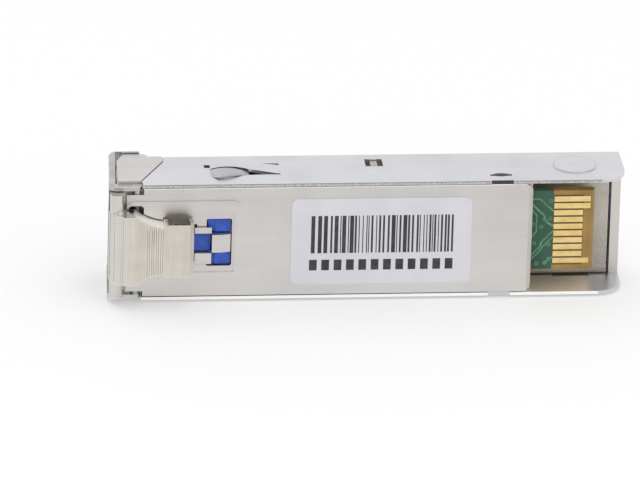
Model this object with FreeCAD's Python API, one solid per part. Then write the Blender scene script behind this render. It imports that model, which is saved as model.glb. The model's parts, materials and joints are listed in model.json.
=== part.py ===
import FreeCAD
import Part
import math
import os

# Pluggable optical transceiver, in millimetres.
# X runs from the front to the rear, Y from the bottom face (0) to the top.
# Z runs across the width from the middle.
# The finished pieces are set down on one long side, with +Z up.

# Overall form
module_length = 56.5          # front of the nose region to the rear edge
module_width = 13.4
module_height = 8.5
latch_shoulder = 11.5         # front face of the latch boss, the datum along X
shoulder_to_base_end = 34.8
shoulder_to_card_end = 41.8

# Sheet cover
cover_sheet = 0.35
cover_gap = 0.05              # between the cover and the castings
casting_edge = 0.3            # round on the castings' long top edges
cover_bottom = 0.05           # height of the cover's lower edges
cover_bend = 0.6              # outer radius of the long folds
seam_top = 6.68               # front edge of the cover at the top
seam_bend = 6.7               # height where the seam turns slanted
seam_low = 3.97               # front edge of the cover at the bottom
seam_low_height = 1.3
seam_gap = 0.08
rear_corner = 3.0             # round lower rear corners of the side walls
rear_hem = 1.0                # return lip under the rear fold
spring_root = 11.5            # lanced side spring
spring_belly_x = 12.4
spring_shoulder_x = 13.9
spring_tip = 15.7
slot_end = 19.0
spring_height = 4.2           # straight upper edge of the leaf
spring_root_width = 1.25
spring_belly = 2.6
spring_shoulder = 2.15
spring_tip_width = 1.4
spring_rise = 0.2
spring_sheet = 0.2
slot_gap = 0.12
slot_upper_gap = 0.2          # wider gap along the leaf's straight edge
slot_belly_gap = 0.75
spring_room = 0.35            # hollow in the base wall behind the side spring
relief_front = 10.95          # relief hole beside the root of the spring
relief_length = 0.65
relief_level = 5.2
relief_height = 0.8
barb_front = 17.4             # thin lanced barb above the slot
barb_rear = 19.1
barb_level = 5.95
barb_drop = 0.45
barb_open = 0.22
top_spring_offset = 3.2
top_spring_root = 7.3
snap_centre = 29.45
snap_length = 1.9
snap_height = 2.0
snap_level = 5.7
nub_gap = 0.12
nub_side_gap = 0.58
nub_rise = 0.25
nub_relief = 0.5              # hollows beside the nub
crimp_centre = 42.9
crimp_length = 2.4
crimp_level = 1.7
crimp_slit = 0.35
crimp_room = 0.3              # hollow in the base wall behind the slit
emboss_centre = 51.2
emboss_level = 4.4
emboss_radius = 2.4
emboss_rise = 0.1

# Base casting
floor = 1.0                   # bottom plate
bay_floor = 1.95              # thicker floor over the latch works
bay_end = 18.0
base_front = 2.25             # front edge of the bottom face
base_wall = 0.7
base_wall_top = 4.2
base_rear_bevel = 0.5
base_rear_corner = 1.0
base_edge = 0.15              # round on the long edges of the bottom face
nose_front = 1.35
nose_rear = 7.6
nose_wall = 0.6               # rear wall of the plug ports
nose_flare = 0.1              # how far the nose stands out past the cover
nose_bottom = 1.15            # lower edge of the nose side plates
nose_lean = 0.25              # the front leans back by this much
nose_brow = 6.75              # height where the front turns into the crown
crown_height = 0.3            # crown above the cover
crown_front = 2.45
crown_rear = 4.3
crown_slope = 0.7
port_pitch = 6.25             # between the two optical axes
port_size = 4.7
port_axis = 4.3               # height of the optical axes
port_latch_width = 3.2
port_latch_top = 8.1
field_half = 4.85             # low raised field round the lever
field_margin = 0.8            # field behind the window
field_rise = 0.18
field_corner = 0.7
hollow_half = 3.45            # shallow hollow in the field, round the window
hollow_margin = 0.24          # hollow behind the window
lever_room = 0.15             # round the lever's outline
lever_bed = 0.3               # floor under the lever's broad front

# Latch works
bail_pivot_x = 3.4
bail_pivot_y = 0.6
rod_radius = 0.42
rod_clearance = 0.05
lobe_offset = 0.45
lobe_half = 2.6
cam_pocket_half = 4.4
cam_pocket_front = 0.95       # pocket reach in front of the rod
cam_pocket_rear = 0.7
cam_pocket_depth = 1.25
leg_relief = 0.7              # how far the base is cut in for the bail's legs
leg_relief_rear = 4.1
lever_front = 0.35
lever_flat = 2.25             # where the round front meets the flat face
lever_face = -2.5             # outer face of the lever
lever_underside = 0.1
lever_half = 3.95
lever_neck_half = 2.65
lever_neck_x = 6.2
lever_shoulder_x = 3.1
lever_block_half = 2.95
lever_tip_gap = 0.1           # from the lever's tip to the rocker's posts
lever_tip_reach = 0.15        # tip past the block
lever_pivot_setback = 2.2     # from the block's rear to the lever's axle
lever_tip_outer = -0.35
lever_tip_inner = 0.15
lever_skirt = -0.4            # underside of the block where it overhangs the pad
lever_bevel = 0.5
block_pocket_front = 6.6      # hollow in each side of the block
block_pocket_wall = 0.4
block_pocket_depth = 1.5
block_skin = 0.35
lever_bar_gap = 0.1           # from the end of the lever's round bar to the bail's leg
lever_bar_x = 1.2
lever_bar_radius = 0.75
lever_bar_outer = -1.25
lever_bar_inner = 0.65
flute_radius = 0.18
flute_first = 20.0            # turn of the first flute round the front, in degrees
flute_step = 25.0
flute_count = 3
ridge_radius = 0.16
ridge_setback = 0.3           # last ridge in front of the block
ridge_pitch = 0.48
ridge_count = 4
shoulder_hollow = 0.28
lever_pivot_y = 0.62
lever_hub_radius = 0.58
lever_hub_half = 1.9
axle_radius = 0.3
axle_clearance = 0.03
axle_grip = 0.8               # how far the lever's pin goes into the casting
rocker_grip = 0.5             # how far the rocker's pin goes into the posts
hub_gap = 0.25
works_depth = 1.6             # floor of the latch pocket
window_half = 2.75
window_front_upper = 1.87
window_front_lower = 2.55
window_corner = 0.25
rocker_setback = 1.1          # from the shoulder to the rocker's axle
rocker_pivot_y = 0.85
stem_half = 1.05
stem_reach = 0.45             # stem in front of the posts
stem_outer = 0.3
stem_inner = 1.1
tine_root = 0.4               # web of the fork in front of the shoulder
tine_outer = 0.3
tine_gap = 0.12
cheek_radius = 0.45
post_half_inner = 1.16
post_upper_outer = 1.82
post_lower_outer = 2.4
post_front_reach = 0.75       # posts in front of the rocker's axle
post_rear_reach = 0.5
cap_gap = 0.05                # between the caps and the boss
cap_outer = -0.3
cap_inner = 0.05
cap_relief = 0.4              # room behind the caps when the fork swings out
boss_length = 2.0
boss_half = 1.02
boss_height = 0.45
boss_nose = 0.25
boss_gap = 0.16               # window behind the boss

# Bail loop
bail_front = 0.32
bail_width = 0.68             # of the arms, along X
bail_lean = 0.6               # the arms lean back by this much at the top
bail_stand = 0.2              # how far the arms stand out past the nose
bail_thickness = 0.8
bail_leg_gap = 0.45           # between the base and the bail's legs
bail_leg_width = 0.45
bail_leg_height = 1.0
bail_leg_end = 0.5            # radius of the leg round the rod
bail_grip_gap = 0.12          # between the crown and the bail's grip
bail_grip_height = 0.45
bail_grip_rear = 4.25
bail_grip_slope = 0.35
bail_corner = 1.0
bail_foot_round = 0.9         # where the arms turn into the legs
bail_round = 0.32             # long outer edges of the arms

# Circuit card
card_front = 20.0
card_bottom = 2.25
card_thickness = 1.0
card_half = 5.5
tongue_half = 4.6
tongue_chamfer = 0.3
seat_gap = 0.02
rail_half = 4.9
rail_front = 22.0
contact_pitch = 0.8
contact_width = 0.6
contact_count = 10
contact_thickness = 0.04
contact_front = 48.9
contact_setback = 0.47        # long contacts end this far from the card's edge
contact_short = 0.79          # short contacts end this much sooner
long_contacts_bottom = (0, 1, 9)
long_contacts_top = (0, 3, 6, 9)

# Carrier above the card
carrier_front = 22.5
carrier_rear = 55.2
carrier_bottom = 5.25
carrier_web = 0.8
carrier_wall = 0.8
carrier_gap = 0.1
carrier_rail_inner = 4.7
carrier_rail_front = 24.0

# Optical units
barrel_front = 4.6
barrel_radius = 1.45
barrel_gap = 0.1
flange_radius = 2.3
flange_length = 0.8
body_radius = 2.0
body_rear = 12.5
sleeve_front = 4.8
sleeve_length = 4.0
sleeve_radius = 0.95
ferrule_radius = 0.625        # bore for a 1.25 mm ferrule
sleeve_gap = 0.02
sleeve_slit = 0.15
lead_in_radius = 0.85
can_radius = 2.2
can_length = 3.0
header_radius = 2.3
header_length = 0.6
can_gap = 0.02
cradle_front = 9.0
cradle_rear = 11.0
cradle_gap = 0.04
clamp_room = 0.2              # between the clamp and the level of the castings' top
clamp_gap = 0.4               # on each side of the clamp
flex_width = 3.4
flex_thickness = 0.15
flex_bend = 0.8
flex_top = 5.6
flex_gap = 0.03
flex_reach = 21.8

# Parts on the card
driver_x = 28.0
driver_size = 4.0
driver_height = 0.8
controller_x = 34.0
controller_size = 3.0
controller_height = 0.6
capacitor_x = 38.5
capacitor_length = 1.0
capacitor_width = 0.5
capacitor_height = 0.5
capacitor_pitch = 1.4
capacitor_count = 6
pad_gap = 0.02

# Label
label_front = 20.1
label_rear = 39.65
label_half = 4.95
label_offset = -0.05
label_corner = 0.7
label_thickness = 0.08

# Derived places
half_width = module_width / 2
inner_half = half_width - cover_sheet
base_half = inner_half - cover_gap
cover_underside = module_height - cover_sheet
casting_top = cover_underside - cover_gap
base_rear = latch_shoulder + shoulder_to_base_end
card_rear = latch_shoulder + shoulder_to_card_end
card_top = card_bottom + card_thickness
wall_inner = base_half - base_wall
nose_half = half_width + nose_flare
nose_top = module_height + crown_height
bail_half = nose_half + bail_stand
bail_inner_half = bail_half - bail_thickness
leg_relief_half = base_half - leg_relief
bail_leg_inner = leg_relief_half + bail_leg_gap
bail_leg_outer = bail_leg_inner + bail_leg_width
bail_grip_inner = nose_top + bail_grip_gap
bail_grip_outer = bail_grip_inner + bail_grip_height
rod_reach = bail_leg_outer    # half length of the cam rod
lever_bar_half = bail_leg_inner - lever_bar_gap
port_half = port_size / 2
port_offset = port_pitch / 2
barrel_seat = nose_rear
body_front = barrel_seat + flange_length
can_front = body_rear + can_gap
header_front = can_front + can_length
header_rear = header_front + header_length
clamp_half = base_half - clamp_gap
clamp_top = casting_top - clamp_room
rocker_pivot_x = latch_shoulder - rocker_setback
post_rear = rocker_pivot_x + post_rear_reach
cap_rear = latch_shoulder - cap_gap
tine_front = latch_shoulder - tine_root
window_front = rocker_pivot_x - post_front_reach
window_rear = latch_shoulder + boss_length + boss_gap
hollow_rear = window_rear + hollow_margin
field_rear = window_rear + field_margin
stem_front = window_front - stem_reach
lever_tip = window_front - lever_tip_gap
lever_rear = lever_tip - lever_tip_reach
lever_pivot_x = lever_rear - lever_pivot_setback
pocket_front = lever_pivot_x - lever_hub_radius - hub_gap
lever_pin_half = lever_hub_half + hub_gap + axle_grip
rocker_pin_half = post_half_inner + rocker_grip
lever_nose_length = lever_flat - lever_front
lever_depth = lever_underside - lever_face
far = 100.0                   # reach of a cutter past the whole part
tiny = 1e-6
rest_shift = FreeCAD.Vector(
    -(bail_front + module_length) / 2,
    -(lever_face + bail_grip_outer) / 2,
    bail_half,
)


def vec(x, y, z):
    return FreeCAD.Vector(x, y, z)


def block(x0, x1, y0, y1, z0, z1):
    return Part.makeBox(x1 - x0, y1 - y0, z1 - z0, vec(x0, y0, z0))


def centred_block(x0, x1, y0, y1, half):
    return block(x0, x1, y0, y1, -half, half)


def rod_x(radius, x0, x1, y, z):
    return Part.makeCylinder(radius, x1 - x0, vec(x0, y, z), vec(1, 0, 0))


def rod_z(radius, x, y, z0, z1):
    return Part.makeCylinder(radius, z1 - z0, vec(x, y, z0), vec(0, 0, 1))


def closed_face(edges):
    return Part.Face(Part.Wire(edges))


def line(start, end):
    return Part.LineSegment(start, end).toShape()


def arc(start, middle, end):
    return Part.Arc(start, middle, end).toShape()


def curve(points):
    through = Part.BSplineCurve()
    through.interpolate(points)
    return through.toShape()


def polygon_face(points):
    return Part.Face(Part.makePolygon(points + [points[0]]))


def side_prism(points, z0, z1):
    # an outline in X and Y, drawn out across the width
    face = polygon_face([vec(x, y, z0) for x, y in points])
    return face.extrude(vec(0, 0, z1 - z0))


def mirrored(shape):
    return shape.mirror(vec(0, 0, 0), vec(0, 0, 1))


def both_sides(shape):
    return [shape, mirrored(shape)]


def edges_where(shape, test):
    return [edge for edge in shape.Edges if test(edge.BoundBox)]


def near(value, target):
    return abs(value - target) < tiny


def rounded_plate(x0, x1, y0, y1, z0, z1, radius):
    # a plate lying in X and Z with its four corners rounded
    plate = block(x0, x1, y0, y1, z0, z1)
    corners = edges_where(plate, lambda box: near(box.XLength, 0) and near(box.ZLength, 0))
    return plate.makeFillet(radius, corners)


def seam_face(offset):
    # everything in front of the slanted seam between nose and cover, moved back by the offset
    return [
        (-far, -far),
        (seam_low + offset, -far),
        (seam_low + offset, seam_low_height),
        (seam_top + offset, seam_bend),
        (seam_top + offset, far),
        (-far, far),
    ]


def leaf_outline(root, near_gap, root_gap, belly_gap):
    # half-teardrop leaf with a straight upper edge at Y = 0, widened by the gaps
    belly = root + spring_belly_x - spring_root
    tip = root + spring_tip - spring_root
    corners = [
        vec(root, root_gap, 0),
        vec(root, -spring_root_width - near_gap, 0),
        vec(tip, -spring_tip_width - near_gap, 0),
        vec(tip, root_gap, 0),
    ]
    belly_point = vec(belly, -spring_belly - near_gap, 0)
    shoulder = vec(root + spring_shoulder_x - spring_root, -spring_shoulder - near_gap, 0)
    edges = [
        line(corners[0], corners[1]),
        curve([corners[1], belly_point, shoulder, corners[2]]),
        line(corners[2], corners[3]),
        curve([corners[3], vec(belly, belly_gap, 0), corners[0]]),
    ]
    return closed_face(edges).extrude(vec(0, 0, far))


def spring_leaf(root, level):
    # bowed leaf that rises out of the sheet: level is the sheet's outer face, Z points outwards
    belly = root + spring_belly_x - spring_root
    tip = root + spring_tip - spring_root
    dip = level - cover_sheet
    outer = arc(vec(root, 0, level), vec(belly, 0, level + spring_rise), vec(tip, 0, dip))
    inner = arc(
        vec(tip, 0, dip - spring_sheet),
        vec(belly, 0, level + spring_rise - spring_sheet),
        vec(root, 0, level - spring_sheet),
    )
    rear = line(vec(tip, 0, dip), vec(tip, 0, dip - spring_sheet))
    front = line(vec(root, 0, level - spring_sheet), vec(root, 0, level))
    leaf = closed_face([outer, rear, inner, front]).extrude(vec(0, 2 * spring_belly, 0))
    leaf.translate(vec(0, -2 * spring_belly, 0))
    return leaf.common(leaf_outline(root, 0, 0, 0))


def spring_slot(root, tail):
    # hole in the sheet that the leaf is lanced from, with a tail that runs to a point
    tip = root + spring_tip - spring_root
    slot = leaf_outline(root, slot_gap, slot_upper_gap, slot_belly_gap)
    wedge = side_prism(
        [
            (tip, -spring_tip_width - slot_gap),
            (tip + tail, -spring_tip_width),
            (tip + tail, -spring_tip_width + slot_gap),
            (tip, slot_upper_gap),
        ],
        0, far,
    )
    return slot.fuse(wedge)


def cover_sleeve():
    skin = centred_block(seam_low, module_length, cover_bottom, module_height, half_width)
    folds = edges_where(skin, lambda box: near(box.YMin, module_height) and not near(box.XLength, 0))
    skin = skin.makeFillet(cover_bend, folds)
    hollow = centred_block(-far, module_length - cover_sheet, -far, cover_underside, inner_half)
    folds = edges_where(hollow, lambda box: near(box.YMin, cover_underside) and not near(box.XLength, 0))
    hollow = hollow.makeFillet(cover_bend - cover_sheet, folds)
    mouth = centred_block(module_length - 2 * cover_sheet, far, -far, carrier_bottom, inner_half)
    lip = centred_block(
        module_length - rear_hem,
        module_length - cover_sheet / 2,
        carrier_bottom,
        carrier_bottom + cover_sheet,
        inner_half + cover_sheet / 2,
    )
    sheet = skin.cut(hollow).cut(mouth).fuse(lip)
    sheet = sheet.cut(side_prism(seam_face(0), -far, far))
    corner = block(module_length - rear_corner, far, -far, cover_bottom + rear_corner, -far, far)
    round_corner = rod_z(
        rear_corner, module_length - rear_corner, cover_bottom + rear_corner, -far, far
    )
    sheet = sheet.cut(corner.cut(round_corner))

    cuts = []
    springs = []
    slot = spring_slot(spring_root, slot_end - spring_tip)
    slot.translate(vec(0, spring_height, 0))
    cuts.append(slot)
    cuts.append(block(
        relief_front, relief_front + relief_length,
        relief_level - relief_height / 2, relief_level + relief_height / 2, 0, far,
    ))
    cuts.append(side_prism(
        [
            (barb_front, barb_level),
            (barb_rear, barb_level - barb_drop),
            (barb_rear, barb_level - barb_drop + barb_open),
        ],
        0, far,
    ))
    leaf = spring_leaf(spring_root, half_width)
    leaf.translate(vec(0, spring_height, 0))
    springs.append(leaf)
    cuts.append(block(
        snap_centre - snap_length / 2, snap_centre + snap_length / 2,
        snap_level - snap_height / 2, snap_level + snap_height / 2, 0, far,
    ))
    cuts.append(block(
        crimp_centre - crimp_length / 2, crimp_centre + crimp_length / 2,
        crimp_level - crimp_slit / 2, crimp_level + crimp_slit / 2, 0, far,
    ))
    notch = block(
        crimp_centre - crimp_length / 2, crimp_centre + crimp_length / 2,
        -far, cover_bottom + crimp_slit / 2, 0, far,
    )
    cuts.append(notch)
    for cutter in cuts:
        for piece in both_sides(cutter):
            sheet = sheet.cut(piece)

    # the same leaf, turned upwards, stands on each side of the middle of the top wall
    top_slot = spring_slot(top_spring_root, slot_gap)
    top_leaf = spring_leaf(top_spring_root, module_height)
    for shape in (top_slot, top_leaf):
        shape.rotate(vec(0, 0, 0), vec(1, 0, 0), -90)
        shape.translate(vec(0, 0, -top_spring_offset))
    for side_slot, side_leaf in zip(both_sides(top_slot), both_sides(top_leaf)):
        sheet = sheet.cut(side_slot).fuse(side_leaf)

    disc = rod_z(emboss_radius, emboss_centre, emboss_level, half_width - emboss_rise, half_width)
    disc.translate(vec(0, 0, emboss_rise))
    dish = rod_z(
        emboss_radius - cover_sheet, emboss_centre, emboss_level,
        inner_half - emboss_rise, inner_half + emboss_rise,
    )
    for piece in springs + [disc]:
        for copy in both_sides(piece):
            sheet = sheet.fuse(copy)
    for copy in both_sides(dish):
        sheet = sheet.cut(copy)
    return sheet.removeSplitter()


def port_cuts():
    cuts = []
    for axis in (port_offset, -port_offset):
        mouth = block(
            -far, nose_rear - nose_wall, port_axis - port_half, port_axis + port_half,
            axis - port_half, axis + port_half,
        )
        latch = block(
            -far, nose_rear - nose_wall, port_axis, port_latch_top,
            axis - port_latch_width / 2, axis + port_latch_width / 2,
        )
        cuts += [mouth, latch, rod_x(barrel_radius + barrel_gap, 0, body_front, port_axis, axis)]
    return cuts


def casting_block(x0, x1, y0):
    # a block that fills the cover from side to side, rounded to suit the folds
    body = centred_block(x0, x1, y0, casting_top, base_half)
    tops = edges_where(body, lambda box: near(box.YMin, casting_top) and not near(box.XLength, 0))
    return body.makeFillet(casting_edge, tops)


def nose():
    core = casting_block(nose_front, nose_rear, floor)
    crown = centred_block(nose_front, crown_rear + crown_slope, floor, nose_top, nose_half)
    plates = centred_block(nose_front, nose_rear, nose_bottom, module_height, nose_half)
    tops = edges_where(plates, lambda box: near(box.YMin, module_height) and not near(box.XLength, 0))
    plates = plates.makeFillet(cover_bend, tops)
    skirt = centred_block(-far, far, -far, nose_bottom, far)
    plates = plates.fuse(crown.cut(skirt)).common(side_prism(seam_face(-seam_gap), -far, far))
    profile = [
        (nose_front, -far),
        (nose_front, nose_bottom),
        (nose_front + nose_lean, nose_brow),
        (crown_front, nose_top),
        (crown_rear, nose_top),
        (crown_rear + crown_slope, module_height),
        (far, module_height),
        (far, -far),
    ]
    return core.fuse(plates).common(side_prism(profile, -far, far))


def latch_boss():
    # square shoulder to the front, ramp to the rear
    outline = [
        (latch_shoulder, works_depth),
        (latch_shoulder, -boss_height),
        (latch_shoulder + boss_length / 2, -boss_height),
        (latch_shoulder + boss_length, -boss_height + boss_nose),
        (latch_shoulder + boss_length, works_depth),
    ]
    return side_prism(outline, -boss_half, boss_half)


def rocker_post(outer):
    post = block(window_front, post_rear, cap_outer, works_depth, post_half_inner, outer)
    cap = block(window_front, cap_rear, cap_outer, cap_inner, post_half_inner, outer)
    hole = rod_z(axle_radius, rocker_pivot_x, rocker_pivot_y, 0, rocker_pin_half)
    return post.fuse(cap).cut(hole)


def latch_pocket():
    # one pocket holds the lever's hub and tip, the rocker and the posts
    hub = centred_block(
        pocket_front, window_front + hub_gap, -far, works_depth, lever_hub_half + hub_gap
    )
    front = block(
        window_front, latch_shoulder, -far, works_depth, -window_front_lower, window_front_upper
    )
    rear = rounded_plate(
        post_rear, window_rear, -far, works_depth, -window_half, window_half, window_corner
    )
    return [hub, front, rear]


def bottom_field():
    # low raised field on the bottom face, with a hollow round the window
    field = rounded_plate(
        base_front, field_rear, -field_rise, floor, -field_half, field_half, field_corner
    )
    return field.cut(centred_block(pocket_front, hollow_rear, -far, 0, hollow_half))


def lever_bed_cut():
    # room under the broad front of the lever, cut to its own outline
    reach = centred_block(-far, pocket_front, -far, lever_bed, far)
    return lever_plan(lever_room).common(reach)


def soft_bottom(plate):
    long_edges = edges_where(
        plate, lambda box: near(box.YMin, 0) and near(box.YMax, 0) and near(box.ZLength, 0)
    )
    return plate.makeFillet(base_edge, long_edges)


def base_housing():
    plate = centred_block(base_front, base_rear, 0, floor, base_half)
    rear_edges = edges_where(
        plate, lambda box: near(box.XMin, base_rear) and near(box.XMax, base_rear) and near(box.YMax, 0)
    )
    plate = plate.makeChamfer(base_rear_bevel, rear_edges)
    bay = centred_block(base_front, bay_end, 0, bay_floor, base_half)
    body = soft_bottom(plate).fuse(soft_bottom(bay)).fuse(nose())
    for wall in both_sides(block(nose_rear, base_rear, floor, base_wall_top, wall_inner, base_half)):
        body = body.fuse(wall)
    spring_hollow = block(
        spring_root, slot_end, spring_height - spring_belly - slot_gap, base_wall_top,
        base_half - spring_room, base_half,
    )
    crimp_hollow = block(
        crimp_centre - crimp_length / 2, crimp_centre + crimp_length / 2,
        crimp_level - crimp_slit, crimp_level + crimp_slit, base_half - crimp_room, base_half,
    )
    for cutter in both_sides(spring_hollow) + both_sides(crimp_hollow):
        body = body.cut(cutter)
    rail = block(rail_front, base_rear, floor, card_bottom - seat_gap, rail_half, wall_inner)
    for piece in both_sides(rail):
        body = body.fuse(piece)
    cradle = centred_block(cradle_front, cradle_rear, floor, base_wall_top, wall_inner)
    for axis in (port_offset, -port_offset):
        cradle = cradle.cut(rod_x(body_radius + cradle_gap, 0, far, port_axis, axis))
    body = body.fuse(cradle)
    for cutter in port_cuts():
        body = body.cut(cutter)

    body = body.fuse(bottom_field())
    for cutter in latch_pocket() + [lever_bed_cut()]:
        body = body.cut(cutter)
    body = body.fuse(latch_boss())
    body = body.fuse(rocker_post(post_upper_outer)).fuse(mirrored(rocker_post(post_lower_outer)))
    cam_pocket = rounded_plate(
        bail_pivot_x - cam_pocket_front, bail_pivot_x + cam_pocket_rear, -far, cam_pocket_depth,
        -cam_pocket_half, cam_pocket_half, field_corner / 2,
    )
    body = body.cut(cam_pocket)
    leg_room = block(-far, leg_relief_rear, -far, nose_bottom, leg_relief_half, far)
    for cutter in both_sides(leg_room):
        body = body.cut(cutter)
    body = body.cut(rod_z(rod_radius + rod_clearance, bail_pivot_x, bail_pivot_y, -rod_reach, rod_reach))
    body = body.cut(rod_z(axle_radius, lever_pivot_x, lever_pivot_y, -lever_pin_half, lever_pin_half))
    corner = block(base_rear - base_rear_corner, base_rear, -far, floor, base_half - base_rear_corner, far)
    round_corner = Part.makeCylinder(
        base_rear_corner, 2 * far,
        vec(base_rear - base_rear_corner, -far, base_half - base_rear_corner), vec(0, 1, 0),
    )
    for cutter in both_sides(corner.cut(round_corner)):
        body = body.cut(cutter)
    return body.removeSplitter()


def upper_carrier():
    half = base_half
    body = casting_block(carrier_front, carrier_rear, carrier_bottom)
    body = body.cut(centred_block(
        -far, carrier_rear - carrier_wall, carrier_bottom + carrier_web, far, half - carrier_wall
    ))
    foot = block(
        carrier_front, base_rear, base_wall_top + seat_gap, carrier_bottom, wall_inner, half
    )
    rail = block(
        carrier_rail_front, base_rear, card_top + seat_gap, carrier_bottom,
        carrier_rail_inner, wall_inner - carrier_gap,
    )
    relief = block(
        snap_centre - snap_length / 2, snap_centre + snap_length / 2,
        snap_level - snap_height / 2, snap_level + snap_height / 2, half - nub_relief, far,
    )
    nub = block(
        snap_centre - snap_length / 2 + nub_side_gap, snap_centre + snap_length / 2 - nub_side_gap,
        snap_level - snap_height / 2 + nub_gap, snap_level + snap_height / 2 - nub_gap,
        half - nub_relief, half + nub_rise,
    )
    for piece in (foot, rail):
        for copy in both_sides(piece):
            body = body.fuse(copy)
    for hollow, copy in zip(both_sides(relief), both_sides(nub)):
        body = body.cut(hollow).fuse(copy)
    return body.removeSplitter()


def bail_arch():
    # arms and grip in one leaning outline, hollowed between the arms
    slant = bail_lean / (bail_grip_outer - bail_pivot_y)
    inner_rear = bail_front + bail_width + slant * (bail_grip_inner - bail_pivot_y)
    outline = [
        (bail_front, bail_pivot_y),
        (bail_front + bail_lean, bail_grip_outer),
        (bail_grip_rear - bail_grip_slope, bail_grip_outer),
        (bail_grip_rear, bail_grip_inner),
        (inner_rear, bail_grip_inner),
        (bail_front + bail_width, bail_pivot_y),
    ]
    arch = side_prism(outline, -bail_half, bail_half)
    brow = edges_where(
        arch,
        lambda box: near(box.XMin, bail_front + bail_lean) and near(box.XMax, bail_front + bail_lean)
        and near(box.YMin, bail_grip_outer),
    )
    arch = arch.makeFillet(bail_corner, brow)
    rims = edges_where(
        arch,
        lambda box: near(box.ZLength, 0) and box.XMax < bail_grip_rear
        and (near(box.YMax, bail_grip_outer) or near(box.XMin, bail_front) and box.YLength > bail_width),
    )
    arch = arch.makeFillet(bail_round, rims)
    return arch.cut(centred_block(-far, far, -far, bail_grip_inner, bail_inner_half))


def bail_loop():
    half_leg = bail_leg_height / 2
    foot = block(
        bail_front, bail_front + bail_width, bail_pivot_y - half_leg, bail_pivot_y + half_leg,
        bail_leg_inner, bail_half,
    )
    foot_edges = edges_where(
        foot, lambda box: near(box.ZMin, bail_half) and near(box.ZMax, bail_half) and not near(box.YLength, 0)
    )
    foot = foot.makeFillet(bail_round, foot_edges)
    leg = block(
        bail_front, bail_pivot_x, bail_pivot_y - half_leg, bail_pivot_y + half_leg,
        bail_leg_inner, bail_leg_outer,
    )
    leg_end = rod_z(bail_leg_end, bail_pivot_x, bail_pivot_y, bail_leg_inner, bail_leg_outer)
    eye = rod_z(rod_radius, bail_pivot_x, bail_pivot_y, bail_leg_inner, rod_reach)
    side = foot.fuse(leg).fuse(leg_end).cut(eye)
    loop = bail_arch().fuse(side).fuse(mirrored(side))
    centre_x = bail_front + bail_foot_round
    centre_y = bail_pivot_y - half_leg + bail_foot_round
    corner = block(-far, centre_x, -far, centre_y, -far, far)
    return loop.cut(corner.cut(rod_z(bail_foot_round, centre_x, centre_y, -far, far))).removeSplitter()


def bail_cam_rod():
    rod = rod_z(rod_radius, bail_pivot_x, bail_pivot_y, -rod_reach, rod_reach)
    lobe = rod_z(rod_radius, bail_pivot_x - lobe_offset, bail_pivot_y, -lobe_half, lobe_half)
    bridge = centred_block(
        bail_pivot_x - lobe_offset, bail_pivot_x,
        bail_pivot_y - rod_radius, bail_pivot_y + rod_radius, lobe_half,
    )
    return rod.fuse(lobe).fuse(bridge).removeSplitter()


def lever_section():
    # side view of the lever: round front, flat grip, ridged neck, block and tip
    diagonal = math.sqrt(0.5)
    start = vec(lever_front, lever_underside, 0)
    turn = vec(
        lever_flat - lever_nose_length * diagonal, lever_underside - lever_depth * diagonal, 0
    )
    flat = vec(lever_flat, lever_face, 0)
    bevel = vec(lever_rear - lever_bevel, lever_face, 0)
    points = [
        flat,
        bevel,
        vec(lever_rear, lever_face + lever_bevel, 0),
        vec(lever_rear, lever_tip_outer, 0),
        vec(lever_tip, lever_tip_outer, 0),
        vec(lever_tip, lever_tip_inner, 0),
        vec(lever_pivot_x, lever_tip_inner, 0),
        vec(lever_pivot_x - lever_hub_radius, lever_underside, 0),
        start,
    ]
    edges = [arc(start, turn, flat)]
    edges += [line(a, b) for a, b in zip(points, points[1:])]
    return closed_face(edges)


def lever_plan(room):
    # half outline from above, widened by the room: broad front, hollow shoulder, neck and block
    broad = lever_half + room
    neck = lever_neck_half + room
    side = lever_block_half + room
    start_x = lever_shoulder_x + room
    middle_x = (start_x + lever_neck_x) / 2
    middle_z = (broad + neck) / 2 - shoulder_hollow
    upper = [
        line(vec(-far, 0, broad), vec(start_x, 0, broad)),
        arc(vec(start_x, 0, broad), vec(middle_x, 0, middle_z), vec(lever_neck_x, 0, neck)),
        line(vec(lever_neck_x, 0, neck), vec(lever_neck_x, 0, side)),
        line(vec(lever_neck_x, 0, side), vec(far, 0, side)),
        line(vec(far, 0, side), vec(far, 0, 0)),
        line(vec(far, 0, 0), vec(-far, 0, 0)),
        line(vec(-far, 0, 0), vec(-far, 0, broad)),
    ]
    half = closed_face(upper).extrude(vec(0, 2 * far, 0))
    half.translate(vec(0, -far, 0))
    return half.fuse(mirrored(half)).removeSplitter()


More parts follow.
